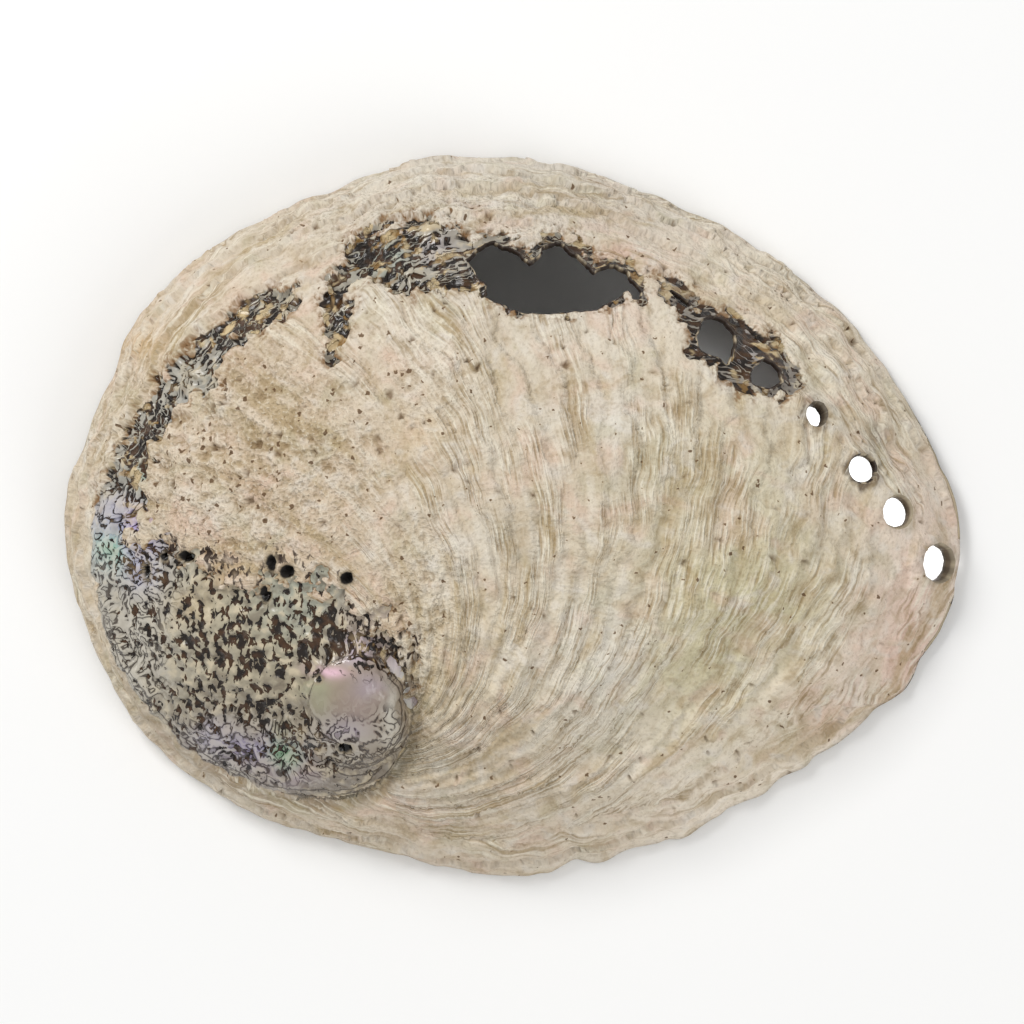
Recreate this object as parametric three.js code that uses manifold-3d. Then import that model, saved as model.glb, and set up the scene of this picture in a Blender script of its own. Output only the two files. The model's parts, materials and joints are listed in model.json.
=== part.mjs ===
import * as THREE from "three";
import { mergeVertices } from "three/addons/utils/BufferGeometryUtils.js";
import Module from "manifold-3d";

// An abalone shell lying on its rim with the crown up. It grew as one piece, so it is one solid.
// Millimetres, +Z up, length along X. The small spire is at the -X, -Y end and the last, open
// breathing hole is at the +X end. Angles are in degrees, counter-clockwise from +X, seen from above.

// Driving dimensions.
const CROWN_HEIGHT = 55; // top of the crown above the surface that the rim rests on
const CROWN_WALL = 5; // wall thickness at the crown
const CROWN = new THREE.Vector2(-20.7, 12); // highest point of the dome
const SPIRE = new THREE.Vector2(-35.7, -42.4); // centre of the smooth spire cap
const SPIRE_CAP = { radius: 13, height: 4.5 };
const SPIRE_HOLLOW = { height: 4.5, halfWidth: 10 }; // on the inside, under the cap
const HOLE_RIDGE = { height: 1.1, halfWidth: 4.5 }; // the low ridge that carries the breathing holes
const CHANNEL = { depth: 1.2, halfWidth: 4, from: 8 }; // alongside that ridge, on the rim's side
const SUTURE = { depth: 3.2, halfWidth: 2.8 }; // the groove that winds out of the spire
const GROWTH_FOLDS = { height: 0.9, spacing: 15, reach: 45 }; // waves that run along the growing lip
const CELLS = 44; // grid cells across the shell

// Radius of the rim about the origin, every 15 degrees. The rim is 200 mm long and 161 mm wide.
const RIM_RADII = [
  98.8, 91.8, 86, 81.6, 78.3, 77.9, 80.2, 81.9, 83.1, 88.5, 93.8, 95.8,
  100.1, 98.8, 96, 90, 83.5, 80.2, 80.2, 79.3, 82.2, 83.4, 91.1, 99.2,
];
// Every 30 degrees: how wide the flat of the rim is, how far it arches off the surface, and how steep
// the wall is outside and inside. A low number is a full, steep wall and a high one a gentle slope.
const RIM_WIDTHS = [3.5, 6, 9, 10, 10, 10, 9, 8, 6, 4, 3.5, 3.5];
const RIM_LIFTS = [3.2, 0.6, 0, 0, 0, 0.8, 1.2, 0.5, 0, 0, 0, 1];
const OUTER_SLOPES = [1.5, 1.3, 1.15, 1.1, 1.1, 1.1, 1.1, 1.15, 1.3, 1.55, 1.7, 1.65];
const INNER_SLOPES = [1.5, 1.15, 0.9, 0.85, 0.85, 0.85, 0.85, 0.95, 1.2, 1.5, 1.65, 1.6];

// Radius about the spire of the whorl line, every 30 degrees of one and a quarter turns. It is the row
// of breathing holes for the first half turn and then the suture, down to the spire cap.
const WHORL_RADII = [142, 122, 108.5, 90.5, 79, 65.5, 46, 31, 23.3, 19.9, 16.9, 14.3, 13.3, 12.6, 12, 11.9];

// The four open breathing holes, newest first: centre, half sizes, and how far the lip stands up.
const BREATHING_HOLES = [
  { at: [94.2, -10.7], half: [3.5, 4.4], lip: 2.6 },
  { at: [85.2, 0.6], half: [3.4, 3.9], lip: 1 },
  { at: [77.2, 10.2], half: [3, 3.1], lip: 0.4 },
  { at: [67, 22.2], half: [2.3, 2.5], lip: 0.3 },
];
const LIP_REACH = 3; // how far each lip spreads round its hole

// Gaps where older holes have broken into each other, as outlines seen from above.
const BROKEN_GAPS = [
  [
    [-10.2, 55.8], [-8.4, 58.3], [-4.4, 60.1], [-1.2, 58.7], [1.7, 57.6], [3.7, 55.1], [6.6, 58.7],
    [9.1, 59.8], [12, 58.7], [16.4, 55.4], [17.6, 53.1], [20.5, 55.4], [22.9, 55.4], [25.2, 53.8],
    [28.5, 49.1], [28.3, 47.5], [26.3, 47.3], [25.2, 49.8], [23.8, 47.5], [18.5, 45.1], [9.1, 43.7],
    [-0.6, 44.4], [-1.7, 45.7], [-6.4, 47.5], [-6.6, 50.4], [-8.4, 52.7],
  ],
  [[33.2, 49.8], [35, 50], [37.2, 48.2], [38.8, 46], [37.7, 45.5], [35.5, 47.5]],
  [
    [40.4, 39.7], [41.5, 42.8], [44, 43.7], [47.1, 42.8], [48.9, 40.2], [49.1, 37], [47.1, 31.7],
    [45.3, 34.3], [42.8, 34.8], [40.8, 36.6],
  ],
  [[52, 28.5], [52.9, 33], [54.9, 34.8], [57.4, 34.3], [59.2, 31.7], [59.8, 29.2], [56.5, 27.9]],
];
const CUT_ABOVE = 10; // how far a cutter stands over the surface
const CUT_BELOW = 15; // and how far it goes under it
const HOLE_LEAN = 0.35; // how far a breathing hole leans: 0 is upright and 1 is square to the wall

const ORIGIN = new THREE.Vector2(0, 0);
const X_WAY = new THREE.Vector3(1, 0, 0);
const Y_WAY = new THREE.Vector3(0, 1, 0);
const { clamp, degToRad, radToDeg, smoothstep } = THREE.MathUtils;

// A smooth curve through values, each step degrees apart. On a closed curve the last meets the first.
function along(values, step, angle, closed = true) {
  const place = angle / step;
  const first = Math.floor(place);
  const t = place - first;
  const count = values.length;
  const at = (i) => values[closed ? (i + count) % count : clamp(i, 0, count - 1)];
  const [a, b, c, d] = [at(first - 1), at(first), at(first + 1), at(first + 2)];
  return b + 0.5 * t * (c - a + t * (2 * a - 5 * b + 4 * c - d + t * (3 * (b - c) + d - a)));
}

function rimPoint(angle, inset = 0) {
  const radius = along(RIM_RADII, 15, angle) - inset;
  return new THREE.Vector2(radius, 0).rotateAround(ORIGIN, degToRad(angle));
}

function rimLift(angle) {
  return Math.max(0, along(RIM_LIFTS, 30, angle));
}

const bell = (distance, halfWidth) => Math.exp(-((distance / halfWidth) ** 2));

// The waves of growth along the lip, which are only on the side where the shell still grew.
function growthFolds(angle, fromRim) {
  const lipSide = smoothstep(angle, 240, 290) * (1 - smoothstep(angle, 330, 355));
  const fade = 1 - smoothstep(fromRim, 0, GROWTH_FOLDS.reach);
  return GROWTH_FOLDS.height * lipSide * fade * Math.sin((2 * Math.PI * fromRim) / GROWTH_FOLDS.spacing);
}

// Height of the whorl's own relief over the plain dome: the spire cap, the suture round it, the low
// ridge that carries the breathing holes, the channel outside that ridge, and the lips of the holes.
function relief(point) {
  const fromSpire = point.clone().sub(SPIRE);
  const radius = fromSpire.length();
  const angle = radToDeg(fromSpire.angle());
  let height = SPIRE_CAP.height * Math.max(0, 1 - (radius / SPIRE_CAP.radius) ** 2);
  for (const unwound of [angle, angle + 360]) {
    if (unwound > 450) continue;
    const outside = radius - along(WHORL_RADII, 30, unwound, false);
    const suture = smoothstep(unwound, 170, 300) * (1 - smoothstep(unwound, 400, 450));
    const holeRow = 1 - smoothstep(unwound, 60, 150);
    height -= SUTURE.depth * suture * bell(outside, SUTURE.halfWidth);
    height += HOLE_RIDGE.height * holeRow * bell(outside, HOLE_RIDGE.halfWidth);
    height -= CHANNEL.depth * holeRow * bell(outside - CHANNEL.from, CHANNEL.halfWidth);
  }
  for (const hole of BREATHING_HOLES) {
    const away = point.distanceTo(new THREE.Vector2(...hole.at)) - Math.max(...hole.half);
    height += hole.lip * bell(Math.max(0, away), LIP_REACH);
  }
  return height;
}

// A point of the plain dome, seen from above in flat, with its height z. reach is 0 at the crown and 1
// at the rim. fade is the share of the relief that is left there, which is none at the rim.
function domePoint(angle, reach, rim, height, slopes) {
  const swing = (reach * Math.PI) / 2;
  const flat = CROWN.clone().lerp(rim, Math.sin(swing));
  const rise = reach < 1 ? height * Math.cos(swing) ** along(slopes, 30, angle) : 0;
  return { flat, z: rise + rimLift(angle) * reach ** 6, fade: 1 - reach ** 8 };
}

function outerPoint(angle, reach) {
  const rim = rimPoint(angle);
  const { flat, z, fade } = domePoint(angle, reach, rim, CROWN_HEIGHT, OUTER_SLOPES);
  const ups = relief(flat) + growthFolds(angle, rim.distanceTo(flat));
  return new THREE.Vector3(flat.x, flat.y, z + fade * ups);
}

// Inside, the wall thickens to the broad flat of the rim, and a hollow runs up into the spire.
function innerPoint(angle, reach) {
  const rim = rimPoint(angle, along(RIM_WIDTHS, 30, angle));
  const { flat, z, fade } = domePoint(angle, reach, rim, CROWN_HEIGHT - CROWN_WALL, INNER_SLOPES);
  const hollow = SPIRE_HOLLOW.height * bell(flat.distanceTo(SPIRE), SPIRE_HOLLOW.halfWidth);
  return new THREE.Vector3(flat.x, flat.y, z + fade * hollow);
}

// Spreads a square grid's point over a disc, so that the cells stay even and no fan meets at a pole.
function discPlace(i, j) {
  const a = (2 * i) / CELLS - 1;
  const b = (2 * j) / CELLS - 1;
  if (a === 0 && b === 0) return { angle: 0, reach: 0 };
  const [side, turn] = Math.abs(a) >= Math.abs(b) ? [a, 45 * (b / a)] : [b, 90 - 45 * (a / b)];
  return { angle: (turn + (side < 0 ? 180 : 0) + 360) % 360, reach: Math.abs(side) };
}

// The closed skin: the outside, the inside, and the flat of the rim between them.
function skinGeometry() {
  const row = CELLS + 1;
  const positions = [];
  const faces = [];
  for (const surface of [outerPoint, innerPoint]) {
    for (let i = 0; i < row; i++)
      for (let j = 0; j < row; j++) {
        const { angle, reach } = discPlace(i, j);
        positions.push(...surface(angle, reach).toArray());
      }
  }
  const inside = row * row;
  const quad = (a, b, c, d) => faces.push(a, b, c, a, c, d);
  for (let i = 0; i < CELLS; i++)
    for (let j = 0; j < CELLS; j++) {
      const corners = [i * row + j, (i + 1) * row + j, (i + 1) * row + j + 1, i * row + j + 1];
      // Each diagonal runs towards the crown, so that no sliver lies along the rim.
      if (i < CELLS / 2 !== j < CELLS / 2) corners.push(corners.shift());
      const [a, b, c, d] = corners;
      quad(a, b, c, d);
      quad(inside + a, inside + d, inside + c, inside + b);
    }
  const edge = [];
  for (let n = 0; n < CELLS; n++) edge.push(n * row);
  for (let n = 0; n < CELLS; n++) edge.push(CELLS * row + n);
  for (let n = CELLS; n > 0; n--) edge.push(n * row + CELLS);
  for (let n = CELLS; n > 0; n--) edge.push(n);
  edge.forEach((here, n) => {
    const next = edge[(n + 1) % edge.length];
    quad(here, inside + here, inside + next, next);
  });
  return new THREE.BufferGeometry()
    .setAttribute("position", new THREE.Float32BufferAttribute(positions, 3))
    .setIndex(faces);
}

// A breathing hole leans outwards, towards the square way through the wall under its centre.
function holeCutter(skin, { at: [x, y], half: [halfX, halfY] }) {
  const ray = new THREE.Raycaster(new THREE.Vector3(x, y, 2 * CROWN_HEIGHT), new THREE.Vector3(0, 0, -1));
  const { point, face } = ray.intersectObject(skin)[0];
  const lean = face.normal.clone().multiplyScalar(HOLE_LEAN / face.normal.z);
  const shape = new THREE.Shape().absellipse(x, y, halfX, halfY, 0, 2 * Math.PI);
  const depth = CUT_ABOVE + CUT_BELOW;
  return new THREE.ExtrudeGeometry(shape, { depth, bevelEnabled: false, curveSegments: 5 })
    .translate(0, 0, -CUT_BELOW)
    .applyMatrix4(new THREE.Matrix4().makeBasis(X_WAY, Y_WAY, new THREE.Vector3(lean.x, lean.y, 1)))
    .translate(0, 0, point.z);
}

// A broken gap goes straight down through the wall into the hollow.
function gapCutter(outline) {
  const shape = new THREE.Shape(outline.map(([x, y]) => new THREE.Vector2(x, y)));
  return new THREE.ExtrudeGeometry(shape, { depth: CROWN_HEIGHT + CUT_ABOVE, bevelEnabled: false });
}

function solidFrom(wasm, geometry) {
  const merged = mergeVertices(geometry.deleteAttribute("normal").deleteAttribute("uv"), 1e-4);
  const mesh = new wasm.Mesh({
    numProp: 3,
    vertProperties: merged.getAttribute("position").array,
    triVerts: new Uint32Array(merged.getIndex().array),
  });
  return new wasm.Manifold(mesh);
}

function geometryFrom(solid) {
  const { vertProperties, triVerts } = solid.getMesh();
  const geometry = new THREE.BufferGeometry()
    .setAttribute("position", new THREE.BufferAttribute(vertProperties, 3))
    .setIndex(new THREE.BufferAttribute(triVerts, 1));
  geometry.computeVertexNormals();
  return geometry;
}

const wasm = await Module();
wasm.setup();
const skin = new THREE.Mesh(skinGeometry());
const cutters = [...BREATHING_HOLES.map((hole) => holeCutter(skin, hole)), ...BROKEN_GAPS.map(gapCutter)];
let solid = solidFrom(wasm, skin.geometry);
for (const shape of cutters) solid = solid.subtract(solidFrom(wasm, shape));

const geometry = geometryFrom(solid);
geometry.computeBoundingBox();
const middle = geometry.boundingBox.getCenter(new THREE.Vector3());

const shell = new THREE.Mesh(
  geometry,
  new THREE.MeshStandardMaterial({ color: "#c6baa2", roughness: 0.85, metalness: 0 }),
);
shell.name = "shell";
shell.position.set(-middle.x, -middle.y, -geometry.boundingBox.min.z);

const part = new THREE.Group();
part.add(shell);

export default part;
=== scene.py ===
import json

import bpy
import numpy as np
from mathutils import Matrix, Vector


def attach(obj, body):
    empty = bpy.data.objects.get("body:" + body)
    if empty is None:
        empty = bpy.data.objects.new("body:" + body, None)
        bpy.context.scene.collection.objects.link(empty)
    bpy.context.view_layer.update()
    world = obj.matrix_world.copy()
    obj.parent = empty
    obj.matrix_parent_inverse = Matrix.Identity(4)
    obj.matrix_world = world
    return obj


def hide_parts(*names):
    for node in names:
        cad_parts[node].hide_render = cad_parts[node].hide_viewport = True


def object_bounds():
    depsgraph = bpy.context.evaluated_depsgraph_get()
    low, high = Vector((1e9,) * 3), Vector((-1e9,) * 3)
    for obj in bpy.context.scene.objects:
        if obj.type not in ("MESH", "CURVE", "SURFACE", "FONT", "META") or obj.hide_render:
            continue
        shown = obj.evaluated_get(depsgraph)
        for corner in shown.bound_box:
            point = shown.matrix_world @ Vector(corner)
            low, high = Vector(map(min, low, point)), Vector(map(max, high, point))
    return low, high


# A weathered abalone shell, lying on its rim with the crown up. One piece is made here and it stands for
# the CAD solid. Its plain form is worked out in numpy, in millimetres, and Geometry Nodes raise the growth
# lines, pits and worn patches on it. Angles are in degrees, counter-clockwise from +X, seen from above.

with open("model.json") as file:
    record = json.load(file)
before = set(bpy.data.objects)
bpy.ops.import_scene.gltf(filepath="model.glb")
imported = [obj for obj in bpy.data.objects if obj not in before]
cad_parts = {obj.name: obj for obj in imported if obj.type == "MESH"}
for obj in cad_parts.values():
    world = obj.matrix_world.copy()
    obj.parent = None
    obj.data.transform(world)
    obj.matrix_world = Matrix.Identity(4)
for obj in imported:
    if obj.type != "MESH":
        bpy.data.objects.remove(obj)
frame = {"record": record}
cad_low, cad_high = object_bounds()
SHELL_NODE = frame["record"]["subparts"][0]["node"]
MM = 0.001

# ---- The plain form, as the CAD solid has it ----

CROWN_HEIGHT = 1000 * (cad_high.z - cad_low.z)
CROWN_WALL = 5
HOLE_WALL = 2.8  # the wall's thickness at the breathing holes
GAP_WALL = 2.3  # and where it broke
CROWN = (-20.7, 12)
SPIRE = (-35.7, -42.4)
SPIRE_CAP = (13, 4.5)  # radius and height
RIM_RADII = [
    98.8, 91.8, 86, 81.6, 78.3, 77.9, 80.2, 81.9, 83.1, 88.5, 93.8, 95.8,
    100.1, 98.8, 96, 90, 83.5, 80.2, 80.2, 79.3, 82.2, 83.4, 91.1, 99.2,
]  # every 15 degrees
RIM_WIDTHS = [3.5, 6, 9, 10, 10, 10, 9, 8, 6, 4, 3.5, 3.5]  # this list and the next three: every 30 degrees
RIM_LIFTS = [3.2, 0.6, 0, 0, 0, 0.8, 1.2, 0.5, 0, 0, 0, 1]
OUTER_SLOPES = [1.5, 1.3, 1.15, 1.1, 1.1, 1.1, 1.1, 1.15, 1.3, 1.55, 1.7, 1.65]
INNER_SLOPES = [1.5, 1.15, 0.9, 0.85, 0.85, 0.85, 0.85, 0.95, 1.2, 1.5, 1.65, 1.6]
# Radius about the spire of the whorl line, every 30 degrees of one and a quarter turns.
WHORL_RADII = [142, 122, 108.5, 90.5, 79, 65.5, 46, 31, 23.3, 19.9, 16.9, 14.3, 13.3, 12.6, 12, 11.9]

# Folds of the back, as paths of (x, y), with how far each rises and its half width.
FOLDS = [
    ([(-6.5, 42), (-8, 25), (-5.5, 8), (-3, 0), (2, -10), (3, -25), (0, -45)], 1.0, 2.6),
    ([(-10.5, 10), (-8.5, 2), (-3.5, -8), (-2, -18)], -0.9, 1.8),
    ([(-14, 38), (-16, 20), (-14, 4)], 0.6, 4),
    ([(57, -4), (42, -18), (24, -31), (8, -46)], 1.0, 5),
    ([(64, -18), (47, -32), (27, -44), (10, -58)], -1.0, 4),
    ([(72, -32), (52, -47), (28, -58), (6, -66)], 0.9, 4),
    ([(26, 30), (22, 12), (16, -6)], 0.6, 4),
    ([(44, 22), (38, 6), (32, -10)], -0.6, 3.5),
]

# ---- What is cut through the wall ----

# Open breathing holes, newest first: centre, half sizes, how far the lip stands up, how much the tube
# leans out, and how dirty its wall and its border are.
BREATHING_HOLES = [
    ((94.8, -10.8), (3.8, 4.5), 2.6, 1.5, 0.45),
    ((85.2, 0.6), (3.5, 3.9), 1.2, 0.7, 0.25),
    ((77.2, 10.2), (3.3, 3.4), 0.6, 0.4, 1.0),
    ((67.0, 22.2), (2.5, 2.9), 0.4, 1.0, 0.8),
]
# Gaps where older holes broke into each other: each scallop of an edge was one hole.
LONG_GAP = [
    (-10.2, 55.8), (-8.4, 58.3), (-4.4, 60.1), (-1.2, 58.7), (1.7, 57.6), (3.7, 55.1), (6.6, 58.7),
    (9.1, 59.8), (12, 58.7), (16.4, 55.4), (17.6, 53.1), (20.5, 55.4), (22.9, 55.4), (25.2, 53.8),
    (28.5, 49.1), (28.3, 47.5), (26.3, 47.3), (25.2, 49.8), (23.8, 47.5), (18.5, 45.1), (9.1, 43.7),
    (-0.6, 44.4), (-1.7, 45.7), (-6.4, 47.5), (-6.6, 50.4), (-8.4, 52.7),
]
ROUND_GAP = [
    (40.4, 39.7), (41.5, 42.8), (44, 43.7), (47.1, 42.8), (48.9, 40.2), (49.1, 37), (47.1, 31.7),
    (45.3, 34.3), (42.8, 34.8), (40.8, 36.6),
]
WEDGE_GAP = [(52, 28.5), (52.9, 33), (54.9, 34.8), (57.4, 34.3), (59.2, 31.7), (59.8, 29.2), (56.5, 27.9)]
SLIVER_GAP = [(33.2, 49.8), (35, 50), (37.2, 48.2), (38.8, 46), (37.7, 45.5), (35.5, 47.5)]
BROKEN_GAPS = [LONG_GAP, ROUND_GAP, WEDGE_GAP, SLIVER_GAP]

CELLS = 268  # grid cells across the shell, about 0.7 mm each
WALL_ROWS = 4  # rows of faces across the edge of the wall
RIM_ROUNDING = 0.8  # how far the rim's two corners stand above the flat that it rests on
MOST_TRIANGLES = 195000


def along(values, step, angle, closed=True):
    """A smooth curve through values that are step degrees apart."""
    values = np.asarray(values, float)
    place = np.asarray(angle, float) / step
    first = np.floor(place).astype(int)
    t = place - first
    if closed:
        a, b, c, d = (values[(first + i) % len(values)] for i in (-1, 0, 1, 2))
    else:
        a, b, c, d = (values[np.clip(first + i, 0, len(values) - 1)] for i in (-1, 0, 1, 2))
    return b + 0.5 * t * (c - a + t * (2 * a - 5 * b + 4 * c - d + t * (3 * (b - c) + d - a)))


def smooth(value, low, high):
    """0 below low, 1 above high, and an even swing between them."""
    t = np.clip((value - low) / (high - low), 0, 1)
    return t * t * (3 - 2 * t)


def bell(distance, half_width):
    return np.exp(-((distance / half_width) ** 2))


def wander(x, y, size, seed):
    """Smooth noise from -1 to 1 whose bumps are about size across."""
    i, j = np.floor(x / size), np.floor(y / size)
    u, v = smooth(x / size - i, 0, 1), smooth(y / size - j, 0, 1)
    corner = lambda di, dj: 2 * (np.sin((i + di) * 127.1 + (j + dj) * 311.7 + seed * 74.7) * 43758.5 % 1) - 1
    near = corner(0, 0) * (1 - u) + corner(1, 0) * u
    far = corner(0, 1) * (1 - u) + corner(1, 1) * u
    return near * (1 - v) + far * v


def from_segment(x, y, start, end):
    """Distance from a straight segment, and how far along it the nearest place is, from 0 to 1."""
    dx, dy = end[0] - start[0], end[1] - start[1]
    t = np.clip(((x - start[0]) * dx + (y - start[1]) * dy) / (dx**2 + dy**2), 0, 1)
    return np.hypot(x - start[0] - t * dx, y - start[1] - t * dy), t


def outline_distance(x, y, outline):
    """Distance from a closed outline, negative inside it."""
    nearest = np.full_like(x, np.inf)
    inside = np.zeros(x.shape, bool)
    for (ax, ay), (bx, by) in zip(outline, outline[1:] + outline[:1]):
        nearest = np.minimum(nearest, from_segment(x, y, (ax, ay), (bx, by))[0])
        if ay != by:
            inside ^= ((ay > y) != (by > y)) & (x < ax + (y - ay) * (bx - ax) / (by - ay))
    return np.where(inside, -nearest, nearest)


def oval_reach(x, y, centre, half):
    """How far out from an oval's centre each point is, where the oval itself is at 1."""
    return np.hypot((x - centre[0]) / half[0], (y - centre[1]) / half[1])


def ellipse_distance(x, y, centre, half):
    """Distance from an ellipse, nearly, negative inside it."""
    return (oval_reach(x, y, centre, half) - 1) * min(half)


def path_distance(x, y, path):
    """Distance from a band along a path of (x, y, half width) points, negative inside it."""
    nearest = np.full_like(x, np.inf)
    for (ax, ay, aw), (bx, by, bw) in zip(path, path[1:]):
        away, t = from_segment(x, y, (ax, ay), (bx, by))
        nearest = np.minimum(nearest, away - (aw + t * (bw - aw)))
    return nearest


def disc_grid(cells):
    """Angle and reach, 0 at the crown and 1 at the rim, of an even square grid that is bent to a disc."""
    steps = np.linspace(-1, 1, cells + 1)
    a, b = np.meshgrid(steps, steps, indexing="ij")
    across = np.abs(a) >= np.abs(b)
    side, other = np.where(across, a, b), np.where(across, b, a)
    turn = 45 * np.divide(other, side, out=np.zeros_like(a), where=side != 0)
    angle = np.where(across, turn, 90 - turn) + np.where(side < 0, 180, 0)
    return angle.ravel() % 360, np.abs(side).ravel()


def grid_triangles(cells):
    """The grid's triangles, with each diagonal running towards the crown."""
    i, j = (n.ravel() for n in np.meshgrid(np.arange(cells), np.arange(cells), indexing="ij"))
    row = cells + 1
    a, b, c, d = i * row + j, (i + 1) * row + j, (i + 1) * row + j + 1, i * row + j + 1
    turned = (i < cells // 2) != (j < cells // 2)
    a, b, c, d = (np.where(turned, q, p) for p, q in ((a, b), (b, c), (c, d), (d, a)))
    return np.concatenate([np.stack([a, b, c], 1), np.stack([a, c, d], 1)])


def rim_place(angle, inset):
    radius = along(RIM_RADII, 15, angle) - inset
    return radius * np.cos(np.radians(angle)), radius * np.sin(np.radians(angle))


def dome(angle, share, inset, height, slopes):
    """x, y, z of the plain dome, and how much of the relief is left there. share is 0 at the crown."""
    reach = np.arcsin(share) * 2 / np.pi
    rim_x, rim_y = rim_place(angle, inset)
    x = CROWN[0] + share * (rim_x - CROWN[0])
    y = CROWN[1] + share * (rim_y - CROWN[1])
    rise = height * np.clip(1 - share**2, 0, 1) ** (along(slopes, 30, angle) / 2)
    lift = np.maximum(0, along(RIM_LIFTS, 30, angle))
    return x, y, rise + lift * reach**6, 1 - reach**8


def about_spire(x, y):
    """Radius and angle about the spire."""
    dx, dy = x - SPIRE[0], y - SPIRE[1]
    return np.hypot(dx, dy), np.degrees(np.arctan2(dy, dx)) % 360


def whorl_turns(x, y):
    """For both turns of the whorl line: its unwound angle, and the distance outside it."""
    radius, angle = about_spire(x, y)
    return [(turn, radius - along(WHORL_RADII, 30, turn, closed=False)) for turn in (angle, angle + 360)]


def whorl_relief(x, y):
    """What stands out of the dome: spire cap, suture, hole row, channel, lips, folds and blister pearls."""
    height = SPIRE_CAP[1] * np.maximum(0, 1 - np.hypot(x - SPIRE[0], y - SPIRE[1]) ** 2 / SPIRE_CAP[0] ** 2)
    for turn, outside in whorl_turns(x, y):
        there = turn <= 450
        suture = there * smooth(turn, 170, 300) * (1 - smooth(turn, 400, 450))
        hole_row = there * (1 - smooth(turn, 60, 150))
        height -= 3.2 * suture * bell(outside, 2.8)
        height += hole_row * (1.1 * bell(outside, 4.5) - 1.2 * bell(outside - 8, 4))
    for (cx, cy), half, lip, _, _ in BREATHING_HOLES:
        away = np.hypot(x - cx, y - cy) - max(half)
        height += lip * bell(np.maximum(0, away), 3)
    for path, rise, half_width in FOLDS:
        height += rise * bell(path_distance(x, y, [(*point, 0) for point in path]), half_width)
    for (cx, cy), radius, rise in PEARLS:
        height += rise * np.sqrt(np.maximum(0, 1 - np.hypot(x - cx, y - cy) ** 2 / radius**2))
    return height


# ---- Growth and wear, as fields over the plain form ----

WIDENING = 0.336  # natural log of how much the shell widens for each radian that it grows
SWEEP = 1.2  # radians that a growth line turns about the spire while its radius grows e times
FIRST_RADIUS = 141.6  # radius of the fitted whorl line at 0 degrees

# The bare patch round the spire, down to the suture, where the chalk has worn off the nacre.
SPIRE_WEAR = [
    (-92.5, -9), (-81, -3.5), (-69.7, -11), (-58.5, -16), (-48, -13.3), (-38.4, -18), (-28, -26),
    (-23, -34), (-22.7, -42.4), (-23.3, -49.5), (-27.2, -57), (-35.7, -62.3), (-47.3, -62.6),
    (-62.5, -57.9), (-72.4, -52.2), (-81.7, -42.4), (-88, -33), (-92, -21.9),
]
# Worn stretches of the old hole row, as paths of (x, y, half width).
ROW_WEAR = [
    [(-90, -12, 4), (-87, 1, 6), (-84.5, 13, 4), (-78, 25, 3.2), (-71, 31, 4.8), (-64, 40, 3.2),
     (-55, 45, 4.2), (-50, 47.5, 2.4)],
    [(-39, 50, 2.4), (-38.6, 42, 2.8), (-40, 34, 0.8)],
    [(-36, 54, 3), (-31.7, 58, 5), (-25, 57, 8), (-17, 57, 8), (-11, 54, 5)],
    [(31, 49.5, 0.6), (36, 47.5, 2.4), (41, 43, 2), (47, 39, 5.5), (54, 35, 6), (61, 30.5, 2.6)],
]
CAP_EDGE = ((-34.4, -42.8), (10.9, 12.2))  # centre and half sizes of the spire's smooth cap
CAP_RADIUS = 11.5
SEED = 7


def growth_of(x, y):
    """Millimetres grown, along the hole row, when the growth line through each point was the lip."""
    radius, angle = about_spire(x, y)
    newest = (angle > 240) & (radius > along(WHORL_RADII, 30, angle, closed=False))
    turn = np.radians(np.where(newest, angle - 360, angle))
    line = (turn / SWEEP - np.log(np.maximum(radius, 1) / FIRST_RADIUS)) / (WIDENING + 1 / SWEEP)
    return FIRST_RADIUS / WIDENING * np.exp(-WIDENING * line)


def side_band(x, y, from_rim):
    """1 on the steep side outside the hole row, where the lines follow the rim, and 0 on the back."""
    (angle, outside), _ = whorl_turns(x, y)
    beside = (angle <= 240) * smooth(outside, -1, 3)
    below = smooth(angle, 239, 241) * smooth(outside, -1, 2) * (1 - smooth(angle, 262, 325))
    near_rim = smooth(angle, 239, 241) * smooth(outside, -1, 2) * (1 - smooth(from_rim, 6, 26))
    return np.clip(np.maximum(np.maximum(beside, below), near_rim), 0, 1)


def opening_distance(x, y):
    """Distance from the nearest hole or gap, negative inside it, and that from the nearest gap alone."""
    holes = np.min([ellipse_distance(x, y, hole[0], hole[1]) for hole in BREATHING_HOLES], axis=0)
    gaps = np.min([outline_distance(x, y, outline) for outline in BROKEN_GAPS], axis=0)
    gaps += 0.45 * wander(x, y, 2.6, SEED) + 0.2 * wander(x, y, 1.3, SEED + 1)
    return np.minimum(holes, gaps), gaps


def wear_of(x, y, gaps):
    """How far inside a worn patch each point is, and how frayed the patch's border is there, in mm."""
    worn = np.max([-path_distance(x, y, path) for path in ROW_WEAR], axis=0)
    worn = np.maximum(worn, -outline_distance(x, y, SPIRE_WEAR))
    worn = np.maximum(worn, 2.0 * smooth(y, 47, 54) - 0.1 - gaps)
    worn = np.maximum(worn, 2.3 * smooth(x, 29, 36) - 0.1 - gaps)
    (_, outside), _ = whorl_turns(x, y)
    frayed = smooth(y, -50, -28) * (1 - smooth(y, -4, 12)) * smooth(-outside, 2, 8)
    return np.clip(worn, -15, 15), 0.4 + 2.2 * smooth(y, -4, 12) + 7 * frayed


def hole_dirt(x, y):
    """How dirty each point is from the breathing hole beside it, from 0 to 1, with a ragged border."""
    dirt = np.zeros_like(x)
    for centre, half, _, _, most in BREATHING_HOLES:
        away = ellipse_distance(x, y, centre, half) + 1.3 * wander(x, y, 1.6, SEED + 9)
        dirt = np.maximum(dirt, most * (1 - smooth(away, 0.2, 1.6)))
    return dirt


def cap_reach(x, y):
    """Millimetres from the middle of the spire's cap, measured as if the cap were round."""
    return CAP_RADIUS * oval_reach(x, y, *CAP_EDGE)


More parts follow.
